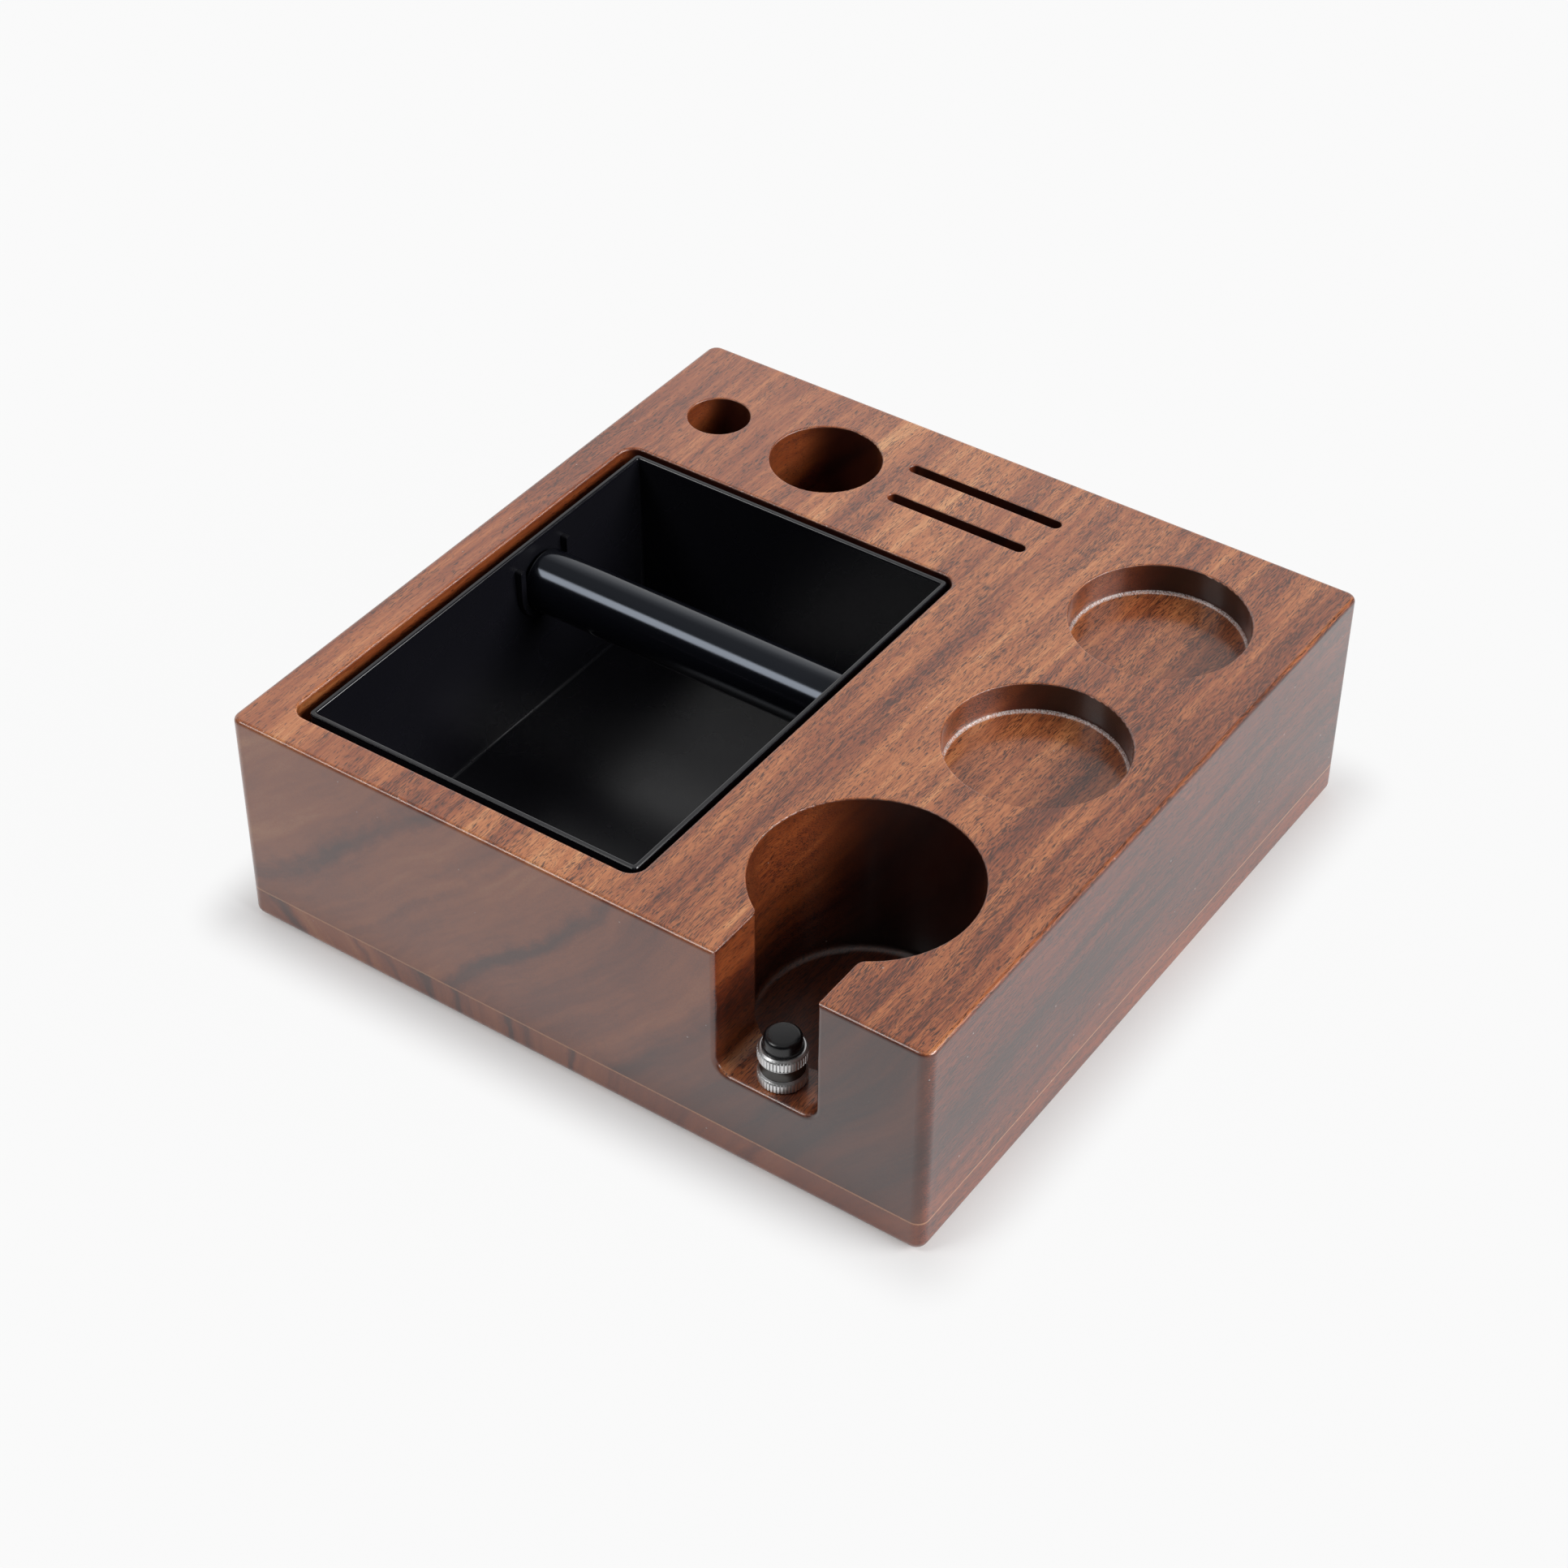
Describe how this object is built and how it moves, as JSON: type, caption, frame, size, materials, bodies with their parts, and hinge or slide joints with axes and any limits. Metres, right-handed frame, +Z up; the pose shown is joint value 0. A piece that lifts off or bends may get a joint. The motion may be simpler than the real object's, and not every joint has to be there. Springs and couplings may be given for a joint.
{
  "type": "coffee organizer box",
  "caption": "Square wooden box with a knock bin and bar, tamper recesses, a portafilter well with a notch and rest, tool holes and screen slots.",
  "frame": {"origin": "middle of the footprint, on the surface that the feet stand on", "axes": "+X to the right along the front face that has the notch, +Y to the back, +Z up"},
  "size_m": [0.26, 0.26, 0.083],
  "materials": {
    "block_wood": "satin lacquer over reddish-brown walnut",
    "board_wood": "satin lacquer over reddish-brown walnut",
    "foot_rubber": "matte",
    "bin_plastic": "satin moulded",
    "bar_steel": "turned",
    "bar_rubber": "smooth, slightly glossy",
    "insert_brass": "turned",
    "stud_steel": "turned",
    "nut_steel": "straight knurled, bright",
    "cap_rubber": "smooth, slightly glossy"
  },
  "bodies": {
    "box": {"main_block": "block_wood", "base_board": "board_wood", "foot_front_left": "foot_rubber", "foot_front_right": "foot_rubber", "foot_rear_left": "foot_rubber", "foot_rear_right": "foot_rubber", "rest_insert": "insert_brass", "rest_stud": "stud_steel"},
    "bin": {"knock_bin": "bin_plastic"},
    "bar": {"bar_core": "bar_steel", "bar_sleeve": "bar_rubber"},
    "rest_carrier": {"rest_cap": "cap_rubber"},
    "rest_spool": {"rest_nut": "nut_steel"}
  },
  "joints": [
    {"name": "bin_lift", "type": "slide", "parent": "box", "child": "bin", "axis": [0, 0, 1], "range_m": [0, 0.08]},
    {"name": "bar_lift", "type": "slide", "parent": "bin", "child": "bar", "axis": [0, 0, 1], "range_m": [0, 0.04]},
    {"name": "rest_lift", "type": "slide", "parent": "box", "child": "rest_carrier", "axis": [0, 0, 1], "range_m": [0, 0.005]},
    {"name": "rest_turn", "type": "hinge", "parent": "rest_carrier", "child": "rest_spool", "pos_m": [0.074, -0.1205, 0.0418], "axis": [0, 0, 1], "range_deg": [0, 1800]}
  ],
  "couplings": [
    {"joint": "rest_lift", "follows": "rest_turn", "m_per_rad": 0.00015915}
  ]
}
